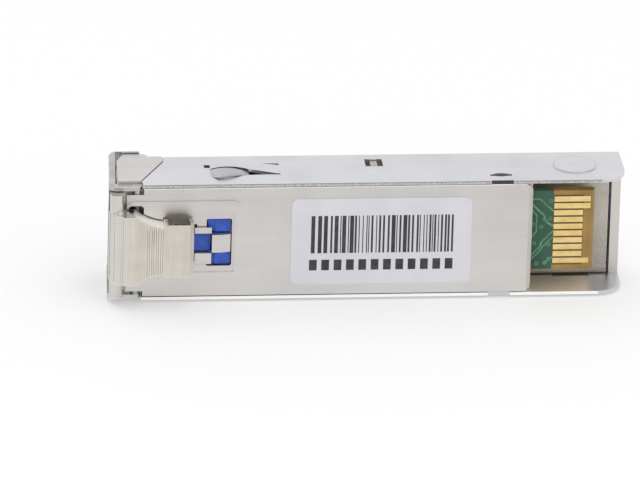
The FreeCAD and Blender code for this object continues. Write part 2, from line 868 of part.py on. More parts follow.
def latch_lever():
    body = lever_section().extrude(vec(0, 0, 2 * lever_half))
    body.translate(vec(0, 0, -lever_half))
    body = body.common(lever_plan(0))
    tip_side = block(lever_rear, far, -far, far, stem_half, far)
    skirt = block(lever_neck_x, far, lever_skirt, far, lever_hub_half, far)
    hollow = block(
        block_pocket_front, lever_rear - block_pocket_wall, lever_face + block_skin, lever_skirt,
        lever_block_half - block_pocket_depth, far,
    )
    for cutter in both_sides(tip_side) + both_sides(skirt) + both_sides(hollow):
        body = body.cut(cutter)
    hub = rod_z(lever_hub_radius, lever_pivot_x, lever_pivot_y, -lever_hub_half, lever_hub_half)
    collar = centred_block(
        lever_pivot_x - lever_hub_radius, lever_pivot_x + lever_hub_radius,
        lever_tip_outer, lever_pivot_y, lever_hub_half,
    )
    body = body.fuse(hub).fuse(collar)
    body = body.cut(rod_z(
        axle_radius + axle_clearance, lever_pivot_x, lever_pivot_y, -far, far
    ))
    bar_low = lever_bar_outer + lever_bar_radius
    bar_high = lever_bar_inner - lever_bar_radius
    bar = centred_block(
        lever_bar_x - lever_bar_radius, lever_bar_x + lever_bar_radius, bar_low, bar_high, lever_bar_half
    )
    for height in (bar_low, bar_high):
        bar = bar.fuse(rod_z(lever_bar_radius, lever_bar_x, height, -lever_bar_half, lever_bar_half))
    body = body.fuse(bar.removeSplitter())

    # flutes round the nose and ridges on the neck
    for step in range(flute_count):
        turn = math.radians(flute_first + step * flute_step)
        body = body.cut(rod_z(
            flute_radius,
            lever_flat - lever_nose_length * math.cos(turn),
            lever_underside - lever_depth * math.sin(turn),
            -lever_half, lever_half,
        ))
    for step in range(ridge_count):
        body = body.cut(rod_z(
            ridge_radius, lever_neck_x - ridge_setback - step * ridge_pitch, lever_face,
            -lever_half, lever_half,
        ))
    return body.removeSplitter()


def release_rocker():
    # stem towards the lever, fork round the latch boss
    stem = centred_block(stem_front, tine_front, stem_outer, stem_inner, stem_half)
    cheek = rod_z(cheek_radius, rocker_pivot_x, rocker_pivot_y, -stem_half, stem_half)
    fork_half = window_half - tine_gap
    fork_rear = window_rear - tine_gap
    fork = centred_block(tine_front, fork_rear, tine_outer, stem_inner, fork_half)
    web_cut = centred_block(tine_front, cap_rear + cap_relief, -far, tine_outer + tine_gap, far)
    slot = centred_block(latch_shoulder - tine_gap, far, -far, far, boss_half + tine_gap)
    body = stem.fuse(cheek).fuse(fork.cut(web_cut).cut(slot))
    bore = rod_z(axle_radius + axle_clearance, rocker_pivot_x, rocker_pivot_y, -far, far)
    return body.cut(bore).removeSplitter()


def lever_axle():
    return rod_z(axle_radius, lever_pivot_x, lever_pivot_y, -lever_pin_half, lever_pin_half)


def rocker_axle():
    return rod_z(axle_radius, rocker_pivot_x, rocker_pivot_y, -rocker_pin_half, rocker_pin_half)


def circuit_card():
    card = centred_block(card_front, base_rear, card_bottom, card_top, card_half)
    tongue = centred_block(base_rear, card_rear, card_bottom, card_top, tongue_half)
    ends = edges_where(
        tongue,
        lambda box: near(box.XMin, card_rear) and near(box.XMax, card_rear) and not near(box.ZLength, 0),
    )
    return card.fuse(tongue.makeChamfer(tongue_chamfer, ends)).removeSplitter()


def contact_row(bottom, long_places):
    pads = []
    for place in range(contact_count):
        middle = ((contact_count - 1) / 2 - place) * contact_pitch
        rear = card_rear - contact_setback
        if place not in long_places:
            rear -= contact_short
        pads.append(block(
            contact_front, rear, bottom, bottom + contact_thickness,
            middle - contact_width / 2, middle + contact_width / 2,
        ))
    return Part.makeCompound(pads)


def receptacle(axis):
    body = rod_x(barrel_radius, barrel_front, barrel_seat, port_axis, axis)
    body = body.fuse(rod_x(flange_radius, barrel_seat, body_front, port_axis, axis))
    body = body.fuse(rod_x(body_radius, body_front, body_rear, port_axis, axis))
    body = body.cut(rod_x(lead_in_radius, barrel_front, sleeve_front, port_axis, axis))
    body = body.cut(rod_x(
        sleeve_radius + sleeve_gap, sleeve_front, sleeve_front + sleeve_length, port_axis, axis
    ))
    return body.removeSplitter()


def split_sleeve(axis):
    tube = rod_x(sleeve_radius, sleeve_front, sleeve_front + sleeve_length, port_axis, axis)
    tube = tube.cut(rod_x(ferrule_radius, 0, far, port_axis, axis))
    slit = block(
        0, far, port_axis, port_axis + 2 * sleeve_radius, axis - sleeve_slit / 2, axis + sleeve_slit / 2
    )
    return tube.cut(slit)


def optical_can(axis):
    can = rod_x(can_radius, can_front, header_front, port_axis, axis)
    return can.fuse(rod_x(header_radius, header_front, header_rear, port_axis, axis)).removeSplitter()


def flex_strip(axis):
    # flat against the header, then bent down onto the card
    front = header_rear + flex_gap
    back = front + flex_thickness
    lower = card_top + flex_gap
    upper = lower + flex_thickness
    outer_bend = flex_bend + flex_thickness
    quarter = math.sqrt(0.5)
    outer_centre = (front + outer_bend, lower + outer_bend)
    edges = [
        line(vec(front, flex_top, 0), vec(front, lower + outer_bend, 0)),
        arc(
            vec(front, lower + outer_bend, 0),
            vec(outer_centre[0] - outer_bend * quarter, outer_centre[1] - outer_bend * quarter, 0),
            vec(front + outer_bend, lower, 0),
        ),
        line(vec(front + outer_bend, lower, 0), vec(flex_reach, lower, 0)),
        line(vec(flex_reach, lower, 0), vec(flex_reach, upper, 0)),
        line(vec(flex_reach, upper, 0), vec(front + outer_bend, upper, 0)),
        arc(
            vec(front + outer_bend, upper, 0),
            vec(outer_centre[0] - flex_bend * quarter, outer_centre[1] - flex_bend * quarter, 0),
            vec(back, lower + outer_bend, 0),
        ),
        line(vec(back, lower + outer_bend, 0), vec(back, flex_top, 0)),
        line(vec(back, flex_top, 0), vec(front, flex_top, 0)),
    ]
    strip = closed_face(edges).extrude(vec(0, 0, flex_width))
    strip.translate(vec(0, 0, axis - flex_width / 2))
    return strip


def osa_clamp():
    clamp = centred_block(cradle_front, cradle_rear, base_wall_top + seat_gap, clamp_top, clamp_half)
    for axis in (port_offset, -port_offset):
        clamp = clamp.cut(rod_x(body_radius + cradle_gap, 0, far, port_axis, axis))
    return clamp


def chip(x, size, y0, y1):
    return centred_block(x - size / 2, x + size / 2, y0, y1, size / 2)


def card_capacitors():
    parts = []
    for place in range(capacitor_count):
        middle = (place - (capacitor_count - 1) / 2) * capacitor_pitch
        parts.append(block(
            capacitor_x - capacitor_length / 2, capacitor_x + capacitor_length / 2,
            card_top, card_top + capacitor_height,
            middle - capacitor_width / 2, middle + capacitor_width / 2,
        ))
    return Part.makeCompound(parts)


def label():
    return rounded_plate(
        label_front, label_rear, -label_thickness, 0,
        label_offset - label_half, label_offset + label_half, label_corner,
    )


driver_top = card_top + driver_height
nodes = {
    "base_housing": base_housing(),
    "cover_sleeve": cover_sleeve(),
    "upper_carrier": upper_carrier(),
    "bail": bail_loop(),
    "bail_cam_rod": bail_cam_rod(),
    "latch_lever": latch_lever(),
    "lever_axle": lever_axle(),
    "release_rocker": release_rocker(),
    "rocker_axle": rocker_axle(),
    "pcb": circuit_card(),
    "edge_contacts_bottom": contact_row(card_bottom - contact_thickness, long_contacts_bottom),
    "edge_contacts_top": contact_row(card_top, long_contacts_top),
    "tosa_receptacle": receptacle(port_offset),
    "rosa_receptacle": receptacle(-port_offset),
    "tosa_sleeve": split_sleeve(port_offset),
    "rosa_sleeve": split_sleeve(-port_offset),
    "tosa_can": optical_can(port_offset),
    "rosa_can": optical_can(-port_offset),
    "tosa_flex": flex_strip(port_offset),
    "rosa_flex": flex_strip(-port_offset),
    "osa_clamp": osa_clamp(),
    "driver_chip": chip(driver_x, driver_size, card_top, driver_top),
    "controller_chip": chip(
        controller_x, controller_size, card_bottom - controller_height, card_bottom
    ),
    "card_capacitors": card_capacitors(),
    "thermal_pad": chip(driver_x, driver_size, driver_top, carrier_bottom - pad_gap),
    "label": label(),
}

os.makedirs("parts", exist_ok=True)
for name, shape in nodes.items():
    shape.translate(rest_shift)
    shape.exportStep("parts/" + name + ".step")
    box = shape.BoundBox
    print(name, len(shape.Solids), shape.isValid(), round(shape.Volume, 2),
          [round(c, 2) for c in (box.XMin, box.YMin, box.ZMin, box.XMax, box.YMax, box.ZMax)])
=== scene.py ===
import bpy
import json
import math
import random
from mathutils import Matrix, Vector


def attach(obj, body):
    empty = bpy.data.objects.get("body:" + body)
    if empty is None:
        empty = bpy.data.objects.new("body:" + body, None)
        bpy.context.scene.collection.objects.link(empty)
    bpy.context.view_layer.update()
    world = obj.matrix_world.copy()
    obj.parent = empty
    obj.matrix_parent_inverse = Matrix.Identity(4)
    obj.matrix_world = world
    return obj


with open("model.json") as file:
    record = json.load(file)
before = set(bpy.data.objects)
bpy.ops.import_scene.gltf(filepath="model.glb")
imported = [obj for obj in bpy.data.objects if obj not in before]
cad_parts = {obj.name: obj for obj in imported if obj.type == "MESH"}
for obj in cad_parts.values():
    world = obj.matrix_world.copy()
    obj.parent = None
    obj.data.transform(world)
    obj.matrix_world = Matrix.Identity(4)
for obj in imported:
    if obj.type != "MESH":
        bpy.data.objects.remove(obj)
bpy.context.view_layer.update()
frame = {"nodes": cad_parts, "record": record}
nodes = frame["nodes"]
mm = 0.001
shift = Vector((-28.41, -3.435, 7.0))          # from the module's own axes to the row frame, in mm
standHeight = 14.0 * mm                        # the module stands on its long narrow side


def place(x, y, z):
    return (Vector((x, y, z)) + shift) * mm


def rowX(x):
    return (x + shift.x) * mm


def rowY(y):
    return (y + shift.y) * mm


def rowZ(z):
    return (z + shift.z) * mm


# one socket of a node tree, with arithmetic
class Wire:
    def __init__(self, tree, socket=None):
        self.tree = tree
        self.socket = socket

    def node(self, kind, settings=None, inputs=None, output=0):
        made = self.tree.nodes.new(kind)
        for key, value in (settings or {}).items():
            setattr(made, key, value)
        for key, value in (inputs or {}).items():
            if isinstance(value, Wire):
                self.tree.links.new(value.socket, made.inputs[key])
            else:
                made.inputs[key].default_value = value
        return Wire(self.tree, made.outputs[output])

    def __add__(self, other):
        return maths("ADD", self, other)

    def __radd__(self, other):
        return maths("ADD", other, self)

    def __sub__(self, other):
        return maths("SUBTRACT", self, other)

    def __rsub__(self, other):
        return maths("SUBTRACT", other, self)

    def __mul__(self, other):
        return maths("MULTIPLY", self, other)

    def __rmul__(self, other):
        return maths("MULTIPLY", other, self)

    def __abs__(self):
        return maths("ABSOLUTE", self)

    def ramp(self, low, high):                 # smooth step from 0 at low to 1 at high
        return self.node("ShaderNodeMapRange", {"interpolation_type": "SMOOTHSTEP"},
                         {"Value": self, "From Min": low, "From Max": high})

    def between(self, low, high, soft):        # 1 inside the band, with soft ends
        return self.ramp(low - soft, low + soft) * (1 - self.ramp(high - soft, high + soft))


def maths(operation, *values):
    wire = next(value for value in values if isinstance(value, Wire))
    return wire.node("ShaderNodeMath", {"operation": operation}, dict(enumerate(values)))


# the colour sockets of a Mix node are told apart by their numbers
def blendColour(factor, first, second):
    return factor.node("ShaderNodeMix", {"data_type": "RGBA"}, {0: factor, 6: first, 7: second}, 2)


def startFinish(name):
    material = bpy.data.materials.new(name)
    material.use_nodes = True
    shader = material.node_tree.nodes["Principled BSDF"]
    coords = Wire(material.node_tree).node("ShaderNodeTexCoord", output="Object")
    return material, shader, coords


def axes(coords):
    split = coords.node("ShaderNodeSeparateXYZ", None, {0: coords}).socket.node
    return [Wire(coords.tree, socket) for socket in split.outputs]


def grain(coords, scale, detail, stretch=(1, 1, 1), breakUp=0.5):
    spot = coords.node("ShaderNodeMapping", None, {"Vector": coords, "Scale": stretch})
    return coords.node("ShaderNodeTexNoise", None,
                       {"Vector": spot, "Scale": scale, "Detail": detail, "Roughness": breakUp})


def bumped(height, distance):
    return height.node("ShaderNodeBump", None, {"Height": height, "Distance": distance})


def feed(shader, **values):
    names = {"colour": "Base Color", "rough": "Roughness", "metal": "Metallic", "coat": "Coat Weight",
             "normal": "Normal"}
    for key, value in values.items():
        socket = shader.inputs[names[key]]
        if isinstance(value, Wire):
            value.tree.links.new(value.socket, socket)
        else:
            socket.default_value = value


edgeLook = {"samples": 8, "turn": 0.2}         # turn: how far the normals part before it counts as an edge


# 1 where the surface turns over an edge, 0 on its flats
def edgeMask(coords, radius):
    rounded = coords.node("ShaderNodeBevel", {"samples": edgeLook["samples"]}, {"Radius": radius})
    flat = coords.node("ShaderNodeNewGeometry", output="Normal")
    along = coords.node("ShaderNodeVectorMath", {"operation": "DOT_PRODUCT"}, {0: rounded, 1: flat}, "Value")
    return (1 - along).ramp(0.0, edgeLook["turn"])


def tint(skin, mask, colour):
    skin["colour"] = blendColour(mask, skin["colour"], colour)


# plated metal: cloudy tone, drawn hairlines along one axis, tiny pits, bright edges that are partly wear and
# partly painted highlight
def platedMetal(name, look, marks=None):
    material, shader, coords = startFinish(name)
    cloud = grain(coords, look["cloudScale"], look["cloudDetail"])
    hair = grain(coords, look["hairScale"], look["hairDetail"], look["hairStretch"], look["hairBreak"])
    pits = grain(coords, look["pitScale"], look["pitDetail"])
    colour = blendColour(cloud.ramp(*look["cloudRange"]), look["dark"], look["light"])
    colour = blendColour(hair.ramp(*look["hairRange"]) * look["hairTone"], colour, look["glint"])
    colour = blendColour(pits.ramp(*look["speckRange"]) * look["speckTone"], colour, look["speck"])
    skin = {
        "colour": colour,
        "rough": look["rough"] + cloud * look["roughCloud"] + hair * look["roughHair"],
        "height": hair * look["hairDepth"] + pits * look["pitDepth"],
    }
    if marks:
        marks(coords, look, skin)
    # edges lightened, partly wear and partly painted highlight
    worn = edgeMask(coords, look["edge"]) * (look["edgeTone"] * look["edgeLeast"] + cloud * look["edgeTone"])
    tint(skin, worn, look["worn"])
    rough = skin["rough"] - worn * look["edgePolish"]
    feed(shader, colour=skin["colour"], rough=rough, metal=1.0, normal=bumped(skin["height"], look["depth"]))
    return material


castingLook = {
    "dark": (0.545, 0.521, 0.504, 1), "light": (0.60, 0.575, 0.558, 1), "glint": (0.66, 0.64, 0.624, 1),
    "speck": (0.70, 0.685, 0.66, 1), "worn": (0.90, 0.89, 0.87, 1),
    "cloudScale": 160.0, "cloudDetail": 3.0, "cloudRange": (0.3, 0.7),
    "hairScale": 900.0, "hairDetail": 4.0, "hairBreak": 0.6, "hairStretch": (0.08, 1, 1),
    "hairRange": (0.35, 0.75), "hairTone": 0.35, "hairDepth": 0.4,
    "pitScale": 7000.0, "pitDetail": 2.0, "pitDepth": 0.6, "speckRange": (0.5, 0.7), "speckTone": 0.25,
    "rough": 0.30, "roughCloud": 0.10, "roughHair": 0.06, "depth": 0.004 * mm,
    "edge": 0.07 * mm, "edgeTone": 0.5, "edgeLeast": 0.5, "edgePolish": 0.1,
}
carrierLook = dict(
    castingLook, dark=(0.385, 0.354, 0.305, 1), light=(0.51, 0.475, 0.42, 1), glint=(0.60, 0.57, 0.52, 1),
    rough=0.42, pitScale=5600.0, pitDepth=1.7, speckTone=0.45)
pinLook = dict(
    castingLook, dark=(0.34, 0.34, 0.34, 1), light=(0.46, 0.46, 0.46, 1), rough=0.25,
    hairStretch=(1, 1, 0.08))
barrelLook = dict(
    castingLook, dark=(0.48, 0.48, 0.48, 1), light=(0.58, 0.58, 0.58, 1), rough=0.22,
    hairScale=2600.0, hairStretch=(1, 0.05, 0.05), hairDepth=1.6)
canLook = dict(
    barrelLook, dark=(0.62, 0.45, 0.20, 1), light=(0.74, 0.56, 0.28, 1), glint=(0.85, 0.7, 0.42, 1),
    speck=(0.80, 0.64, 0.36, 1), worn=(1.0, 0.86, 0.55, 1))
goldLook = dict(
    castingLook, dark=(0.72, 0.50, 0.17, 1), light=(0.83, 0.62, 0.26, 1), glint=(0.92, 0.75, 0.42, 1),
    speck=(0.90, 0.72, 0.36, 1), worn=(1.0, 0.88, 0.55, 1), rough=0.20, cloudScale=900.0,
    hairScale=2400.0, hairTone=0.5, speckTone=0.1)

# painted light: base and bail are drawn paler towards the side they stand on, to lift the shade near the
# floor
baseLook = dict(castingLook, lowHeight=standHeight, lowTone=0.22, low=(0.90, 0.868, 0.838, 1))
bailLook = dict(
    castingLook, dark=(0.375, 0.373, 0.37, 1), light=(0.45, 0.448, 0.445, 1), glint=(0.62, 0.62, 0.62, 1),
    rough=0.12, edgeTone=0.9, lowHeight=2.2 * mm, lowTone=0.6, low=(0.92, 0.915, 0.90, 1))


# painted light, paler towards z = 0
def paintedLowLight(coords, look, skin):
    z = axes(coords)[2]
    low = 1 - z.ramp(0.0, look["lowHeight"])
    tint(skin, low * look["lowTone"], look["low"])


# lever: painted highlight on the curved shoulder, painted light towards the side it stands on, and a round
# front drawn paler than the flat face
leverLook = dict(
    castingLook, dark=(0.545, 0.50, 0.438, 1), light=(0.61, 0.565, 0.505, 1), glint=(0.72, 0.695, 0.645, 1),
    worn=(1.0, 0.99, 0.96, 1), rough=0.15, roughCloud=0.08, cloudScale=420.0,
    hairScale=1100.0, hairStretch=(1, 1, 0.06), hairTone=0.6, edge=0.1 * mm, edgeTone=1.3,
    shoulderFront=rowX(3.0), shoulderRear=rowX(6.3), shoulderFace=rowY(-2.45), shoulderLow=rowZ(2.3),
    shoulderTone=0.9, shoulderRough=0.35, lowHeight=standHeight, lowTone=0.14, low=(0.92, 0.87, 0.79, 1),
    frontEnd=rowX(2.4), frontTone=0.6, front=(0.635, 0.625, 0.605, 1), soft=0.25 * mm)


def leverMarks(coords, look, skin):
    x, y, z = axes(coords)
    soft = look["soft"]
    shoulder = x.between(look["shoulderFront"], look["shoulderRear"], soft)
    shoulder = shoulder * y.ramp(look["shoulderFace"], look["shoulderFace"] + soft)
    shoulder = shoulder * z.ramp(look["shoulderLow"], look["shoulderLow"] + soft)
    # painted highlight on the shoulder
    tint(skin, shoulder * look["shoulderTone"], look["worn"])
    skin["rough"] = skin["rough"] + shoulder * look["shoulderRough"]
    paintedLowLight(coords, look, skin)
    front = 1 - x.ramp(look["frontEnd"] - soft, look["frontEnd"])
    tint(skin, front * look["frontTone"], look["front"])


# cam rod: painted shade over its middle, which lies in the dark pocket; its ends keep the plain steel colour
rodLook = dict(pinLook, wornEnd=5.6 * mm, soft=0.4 * mm, shade=(0.11, 0.106, 0.10, 1))


def rodShade(coords, look, skin):
    z = axes(coords)[2]
    middle = 1 - abs(z - rowZ(0)).ramp(look["wornEnd"] - look["soft"], look["wornEnd"])
    # painted shade on the middle of the rod
    tint(skin, middle, look["shade"])


# cover: a half is a distance from the module's middle plane, and one painted shade colour serves all openings
coverLook = dict(
    castingLook, dark=(0.585, 0.585, 0.612, 1), light=(0.64, 0.64, 0.667, 1), glint=(0.69, 0.69, 0.71, 1),
    speck=(0.72, 0.72, 0.74, 1), rough=0.27, soft=0.03 * mm, openSoft=0.06 * mm,
    hole=(0.06, 0.06, 0.06, 1), innerHalf=6.55 * mm, outerHalf=6.69 * mm,
    bay={"front": rowX(45.0), "rear": rowX(53.0), "top": rowY(8.2), "fade": 0.8 * mm,
         "colour": (1.0, 0.91, 0.76, 1), "tone": 0.9, "rough": 0.2},
    seam={"half": 6.2 * mm, "low": rowY(4.6), "high": rowY(5.4), "rear": rowX(55.4), "soft": 0.15 * mm,
          "tone": 0.85},
    lip={"half": 6.45 * mm, "low": rowY(5.1), "high": rowY(5.4), "front": rowX(55.3),
         "colour": (0.62, 0.596, 0.556, 1)},
    cut={"face": rowY(0.05), "dotScale": 6000.0, "dotDetail": 2.0, "dotRange": (0.35, 0.65),
         "dark": (0.42, 0.42, 0.41, 1), "light": (0.62, 0.62, 0.60, 1), "low": (0.97, 0.97, 0.97, 1),
         "burrHalf": 6.62 * mm, "burrTone": 0.75, "burr": (0.16, 0.16, 0.155, 1), "rough": 0.2, "depth": 3.0},
    crimp={"front": rowX(41.7), "rear": rowX(44.1), "edge": rowY(0.24)},
    disc={"x": rowX(51.2), "y": rowY(4.4), "radius": 2.4 * mm, "width": 0.18 * mm, "soft": 0.08 * mm,
          "tone": 0.2, "shade": (0.24, 0.24, 0.23, 1)},
    slit={"x": rowX(42.9), "y": rowY(1.8), "half": 1.25 * mm, "rise": 0.5 * mm},
    tears=({"tip": (17.2, 5.95), "mouth": (19.1, 5.6), "open": 0.28},
           {"tip": (15.6, 2.95), "mouth": (19.05, 2.86), "open": 0.22}),
    tearTone=0.8,
    leaf={"root": rowX(11.5), "tip": rowX(15.75), "belly": rowX(12.4), "top": rowY(4.2), "low": 6.1 * mm,
          "rootWidth": 1.25 * mm, "flare": 2.6, "bellyWidth": 3.0 * mm, "taper": 0.47, "margin": 0.1 * mm,
          "brim": 0.8 * mm, "tone": 0.62, "brimTone": 0.4, "shade": (0.33, 0.335, 0.335, 1)})


# inside of the rear bay: painted warm reflected light on the walls, a painted shadow line along the seam and
# painted light on the pale lip of the end wall
def rearBay(coords, look, skin):
    x, y, z = axes(coords)
    depth = abs(z - rowZ(0))
    soft, bay, seam, lip = (look[key] for key in ("soft", "bay", "seam", "lip"))
    inner = 1 - depth.ramp(look["innerHalf"] - soft, look["innerHalf"])
    inner = inner * x.between(bay["front"], bay["rear"], bay["fade"])
    inner = inner * (1 - y.ramp(bay["top"], bay["top"] + soft))
    # painted warm reflected light on the bay walls
    tint(skin, inner * bay["tone"], bay["colour"])
    skin["rough"] = skin["rough"] + inner * bay["rough"]
    line = depth.between(seam["half"], look["innerHalf"], soft)
    line = line * y.between(seam["low"], seam["high"], seam["soft"])
    line = line * x.between(bay["front"], seam["rear"], bay["fade"])
    # painted shadow along the seam
    tint(skin, line * seam["tone"], look["hole"])
    edge = x.ramp(lip["front"], lip["front"] + seam["soft"])
    edge = edge * y.between(lip["low"], lip["high"], soft)
    edge = edge * (1 - depth.ramp(seam["half"], lip["half"]))
    # painted light on the lip
    tint(skin, edge, lip["colour"])


# dull dotted edge where the sheet was cut, with a painted shadow along its outer rim, painted light near the
# floor, and painted shade in the crimp gap
def cutEdge(coords, look, skin):
    x, y, z = axes(coords)
    soft, cut, crimp = (look[key] for key in ("soft", "cut", "crimp"))
    dots = grain(coords, cut["dotScale"], cut["dotDetail"])
    burr = abs(z - rowZ(0)).ramp(cut["burrHalf"] - soft, cut["burrHalf"])
    upper = z.ramp(0.0, standHeight)
    tone = blendColour(dots.ramp(*cut["dotRange"]), cut["dark"], cut["light"])
    # painted shadow along the outer rim of the cut edge
    tone = blendColour(burr * cut["burrTone"], tone, cut["burr"])
    # painted light on the cut edge near the floor
    tone = blendColour(upper, cut["low"], tone)
    face = 1 - y.ramp(cut["face"], cut["face"] + soft)
    tint(skin, face, tone)
    skin["rough"] = skin["rough"] + face * cut["rough"]
    skin["height"] = skin["height"] + face * dots * cut["depth"]
    gap = x.between(crimp["front"], crimp["rear"], soft) * (1 - y.ramp(crimp["edge"], crimp["edge"] + soft))
    # painted shade in the crimp gap
    tint(skin, gap * upper, look["hole"])


# painted shade on the outer sides: a line round the pressed disc, a dark lens at the crimp slit, the open
# lances, and the spring leaf
def sideMarks(coords, look, skin):
    x, y, z = axes(coords)
    depth = abs(z - rowZ(0))
    openSoft, disc, slit, leaf = (look[key] for key in ("openSoft", "disc", "slit", "leaf"))
    outside = depth.ramp(look["outerHalf"] - look["soft"], look["outerHalf"])

    fromX = x - disc["x"]
    fromY = y - disc["y"]
    reach = maths("SQRT", fromX * fromX + fromY * fromY)
    ring = reach.between(disc["radius"] - disc["width"], disc["radius"], disc["soft"])
    # painted shadow line round the pressed disc
    tint(skin, ring * outside * disc["tone"], disc["shade"])

    along = (x - slit["x"]) * (1 / slit["half"])
    lens = slit["rise"] * (1 - along * along) - abs(y - slit["y"])
    # painted shade in the crimp slit
    tint(skin, lens.ramp(0.0, openSoft) * outside, look["hole"])

    for tear in look["tears"]:                 # thin at the tip, wide at the mouth
        (x0, y0), (x1, y1) = tear["tip"], tear["mouth"]
        past = x - rowX(x0)
        middle = past * ((y1 - y0) / (x1 - x0)) + rowY(y0)
        half = past * (tear["open"] / (x1 - x0))
        opened = x.between(rowX(x0), rowX(x1), openSoft) * y.between(middle - half, middle + half, openSoft)
        # painted shade in the open lances
        tint(skin, opened * outside * look["tearTone"], look["hole"])

    flared = (x - leaf["root"]) * leaf["flare"] + leaf["rootWidth"]
    tapered = leaf["bellyWidth"] - (x - leaf["belly"]) * leaf["taper"]
    width = maths("MINIMUM", flared, tapered)
    fromTop = leaf["top"] - y
    blade = x.between(leaf["root"], leaf["tip"], openSoft) * fromTop.between(-leaf["margin"], width, openSoft)
    blade = blade * depth.ramp(leaf["low"], look["innerHalf"])
    brim = (fromTop - width).ramp(-leaf["brim"], 0.0)
    # painted shade on the sloped spring leaf, darker along its lower margin
    tint(skin, blade * (leaf["tone"] + brim * leaf["brimTone"]), leaf["shade"])


def coverMarks(coords, look, skin):
    rearBay(coords, look, skin)
    cutEdge(coords, look, skin)
    sideMarks(coords, look, skin)


# moulded plastic: slight tone drift, spark-eroded grain
def mouldedPlastic(name, look):
    material, shader, coords = startFinish(name)
    cloud = grain(coords, look["cloudScale"], look["cloudDetail"])
    spark = grain(coords, look["sparkScale"], look["sparkDetail"], breakUp=look["sparkBreak"])
    colour = blendColour(cloud.ramp(*look["cloudRange"]), look["dark"], look["light"])
    rough = look["rough"] + spark * look["roughSpark"]
    normal = bumped(spark, look["depth"])
    feed(shader, colour=colour, rough=rough, metal=0.0, coat=look["coat"], normal=normal)
    return material


rockerLook = {
    "dark": (0.012, 0.057, 0.38, 1), "light": (0.024, 0.10, 0.52, 1),
    "cloudScale": 700.0, "cloudDetail": 2.0, "cloudRange": (0.3, 0.7),
    "sparkScale": 9000.0, "sparkDetail": 3.0, "sparkBreak": 0.65,
    "rough": 0.42, "roughSpark": 0.15, "depth": 0.004 * mm, "coat": 0.08,
}
clampLook = dict(
    rockerLook, dark=(0.012, 0.012, 0.013, 1), light=(0.03, 0.03, 0.032, 1), rough=0.45, coat=0.0)
chipLook = dict(
    clampLook, dark=(0.010, 0.010, 0.012, 1), light=(0.022, 0.022, 0.025, 1), rough=0.5, sparkScale=14000.0)
ceramicLook = dict(
    rockerLook, dark=(0.74, 0.72, 0.66, 1), light=(0.86, 0.85, 0.80, 1), rough=0.22, sparkScale=12000.0,
    depth=0.002 * mm, coat=0.3)
padLook = dict(
    rockerLook, dark=(0.20, 0.22, 0.25, 1), light=(0.30, 0.32, 0.35, 1), rough=0.75, sparkScale=5000.0,
    depth=0.02 * mm, coat=0.0)
filmLook = dict(rockerLook, dark=(0.34, 0.14, 0.02, 1), light=(0.52, 0.24, 0.05, 1), rough=0.22, coat=0.4)
capacitorLook = dict(rockerLook, dark=(0.22, 0.13, 0.07, 1), light=(0.34, 0.22, 0.12, 1), rough=0.4, coat=0.0)
inkLook = dict(
    rockerLook, dark=(0.018, 0.018, 0.02, 1), light=(0.040, 0.040, 0.043, 1), cloudScale=1200.0,
    sparkScale=8000.0, rough=0.45, roughSpark=0.2, depth=0.002 * mm, coat=0.0)
traceLook = dict(
    rockerLook, dark=(0.045, 0.20, 0.085, 1), light=(0.085, 0.31, 0.135, 1), cloudScale=900.0,
    sparkScale=6000.0, rough=0.28, roughSpark=0.1, depth=0.002 * mm, coat=0.3)

# card: dark green mask towards the front, bare ochre laminate with a glass weave at the contacts
cardLook = {
    "cloudScale": 300.0, "cloudDetail": 3.0,
    "maskEnd": rowX(48.8), "maskSoft": 0.02 * mm, "maskRange": (0.3, 0.7),
    "maskDark": (0.014, 0.062, 0.043, 1), "maskLight": (0.028, 0.098, 0.066, 1),
    "bareRange": (0.25, 0.75), "bareDark": (0.235, 0.130, 0.028, 1), "bareLight": (0.365, 0.225, 0.052, 1),
    "weave": 4200.0, "weaveTone": 0.18, "weaveDepth": 0.003 * mm, "thread": (0.19, 0.105, 0.035, 1),
    "gapEnd": rowX(52.1), "gapLow": rowZ(-4.1), "gapHigh": rowZ(4.1), "gapSoft": 0.03 * mm,
    "gap": (0.045, 0.026, 0.010, 1), "gapTone": 0.8,
    "rough": 0.42, "maskPolish": 0.16, "roughCloud": 0.08,
}


def cardFinish(name, look):
    material, shader, coords = startFinish(name)
    x, y, z = axes(coords)
    cloud = grain(coords, look["cloudScale"], look["cloudDetail"])
    weave = maths("SINE", x * look["weave"]) * maths("SINE", z * look["weave"])
    masked = blendColour(cloud.ramp(*look["maskRange"]), look["maskDark"], look["maskLight"])
    bare = blendColour(cloud.ramp(*look["bareRange"]), look["bareDark"], look["bareLight"])
    bare = blendColour(weave.ramp(0.0, 1.0) * look["weaveTone"], bare, look["thread"])
    gap = x.between(look["maskEnd"], look["gapEnd"], look["gapSoft"])
    gap = gap * z.between(look["gapLow"], look["gapHigh"], look["gapSoft"])
    bare = blendColour(gap * look["gapTone"], bare, look["gap"])    # painted shade between the contacts
    mask = 1 - x.ramp(look["maskEnd"] - look["maskSoft"], look["maskEnd"] + look["maskSoft"])
    colour = blendColour(mask, bare, masked)
    rough = look["rough"] - mask * look["maskPolish"] + cloud * look["roughCloud"]
    feed(shader, colour=colour, rough=rough, metal=0.0, normal=bumped(weave, look["weaveDepth"]))
    return material


labelLook = {
    "dark": (0.552, 0.552, 0.592, 1), "light": (0.624, 0.624, 0.664, 1),
    "cloudScale": 180.0, "cloudDetail": 3.0, "cloudRange": (0.3, 0.7), "cloudShare": 0.6,
    "fibreScale": 2600.0, "fibreDetail": 5.0, "fibreBreak": 0.65, "fibreStretch": (0.4, 1, 1),
    "fibreShare": 0.4,
    "rough": 0.42, "roughFibre": 0.16, "depth": 0.005 * mm, "coat": 0.15,
}


